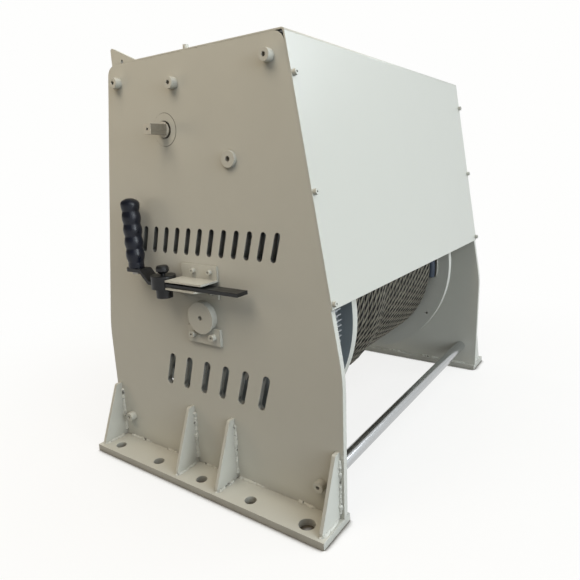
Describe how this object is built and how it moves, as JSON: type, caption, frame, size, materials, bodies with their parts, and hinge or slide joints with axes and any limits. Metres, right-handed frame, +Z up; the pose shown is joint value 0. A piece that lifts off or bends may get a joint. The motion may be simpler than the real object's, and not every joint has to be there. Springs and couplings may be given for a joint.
{
  "type": "mooring winch",
  "caption": "Hand-cranked mooring winch: a rope drum between side plates, geared to a crank shaft with a load brake, under a sheet cover, with a removable crank stowed on the front.",
  "frame": {"origin": "on the floor under the middle of the winch", "axes": "+Z up, +Y along the drum away from the plate with the crank, +X towards the side with the cover"},
  "size_m": [0.53, 0.854, 0.75],
  "materials": {
    "grey_paint": "semi-gloss light grey-white paint",
    "bright_steel": "machined steel",
    "polished_rod": "polished bar",
    "gear_steel": "greased gear steel",
    "bronze": "bearing bronze",
    "rope_steel": "oiled stranded wire rope",
    "end_tape": "dark blue tape",
    "lining": "brake lining",
    "black_coat": "black powder coat",
    "grip_plastic": "black ribbed plastic"
  },
  "bodies": {
    "frame": {"near_side_plate": "grey_paint", "far_side_plate": "grey_paint", "near_foot": "grey_paint", "far_foot": "grey_paint", "near_gussets": "grey_paint", "far_gussets": "grey_paint", "corner_lugs": "grey_paint", "cover": "grey_paint", "cover_screws": "grey_paint", "lower_tie_rods": "polished_rod", "upper_tie_rods": "polished_rod", "tie_rod_screws": "grey_paint", "drum_axle": "grey_paint", "axle_spacers": "bright_steel", "keeper_plate": "grey_paint", "keeper_screws": "grey_paint", "intermediate_axle": "grey_paint", "intermediate_collars": "bright_steel", "bearing_housings": "grey_paint", "bearing_outer_rings": "bright_steel", "bearing_balls": "bright_steel", "bearing_caps": "grey_paint", "ratchet_wheel": "gear_steel", "friction_discs": "lining", "pawl_pin": "bright_steel", "pawl_pin_clip": "bright_steel", "upper_crank_shelf": "grey_paint", "lower_crank_shelf": "grey_paint", "holder_screws": "grey_paint"},
    "drum": {"drum_barrel": "bright_steel", "near_drum_flange": "grey_paint", "far_drum_flange": "grey_paint", "drum_bushes": "bronze", "rope_core": "rope_steel", "rope_winding": "rope_steel", "rope_end_tape": "end_tape", "drum_gear": "gear_steel", "gear_spacers": "bright_steel", "gear_bolts": "bright_steel"},
    "countershaft": {"intermediate_gear": "gear_steel", "intermediate_pinion": "gear_steel", "intermediate_bush": "bronze"},
    "input": {"input_shaft": "bright_steel", "input_pinion": "gear_steel", "bearing_inner_rings": "bright_steel", "brake_flange": "gear_steel", "brake_nut": "gear_steel", "shaft_collar": "bright_steel"},
    "pawl": {"pawl": "gear_steel", "pawl_spring": "bright_steel"},
    "crank_hub": {"crank_hub": "black_coat"},
    "clamp_knob": {"clamp_knob": "black_coat"},
    "crank_arm": {"crank_arm": "black_coat", "grip_spindle": "bright_steel"},
    "grip": {"grip": "grip_plastic"}
  },
  "joints": [
    {"name": "drum_spin", "type": "hinge", "parent": "frame", "child": "drum", "pos_m": [0, 0, 0.302], "axis": [0, 1, 0], "continuous": true},
    {"name": "countershaft_spin", "type": "hinge", "parent": "frame", "child": "countershaft", "pos_m": [0.0775, 0, 0.55868], "axis": [0, 1, 0], "continuous": true},
    {"name": "input_spin", "type": "hinge", "parent": "frame", "child": "input", "pos_m": [-0.057, 0, 0.60941], "axis": [0, 1, 0], "continuous": true},
    {"name": "pawl_lift", "type": "hinge", "parent": "frame", "child": "pawl", "pos_m": [-0.13221, 0, 0.61968], "axis": [0, -1, 0], "range_deg": [0, 22], "stiffness_Nm_per_rad": 0.5, "springref_deg": -20.05},
    {"name": "crank_out", "type": "slide", "parent": "frame", "child": "crank_hub", "axis": [0, -1, 0], "range_m": [0, 0.12]},
    {"name": "arm_slide", "type": "slide", "parent": "crank_hub", "child": "crank_arm", "axis": [-1, 0, 0], "range_m": [0, 0.15]},
    {"name": "knob_turn", "type": "hinge", "parent": "crank_hub", "child": "clamp_knob", "pos_m": [-0.066, -0.39, 0.37], "axis": [0, 0, 1], "range_deg": [0, 360]},
    {"name": "grip_spin", "type": "hinge", "parent": "crank_arm", "child": "grip", "pos_m": [-0.1325, -0.39, 0.43], "axis": [0, 0, 1], "continuous": true}
  ],
  "couplings": [
    {"joint": "countershaft_spin", "follows": "drum_spin", "ratio": -4.9091},
    {"joint": "input_spin", "follows": "drum_spin", "ratio": 26.455}
  ]
}
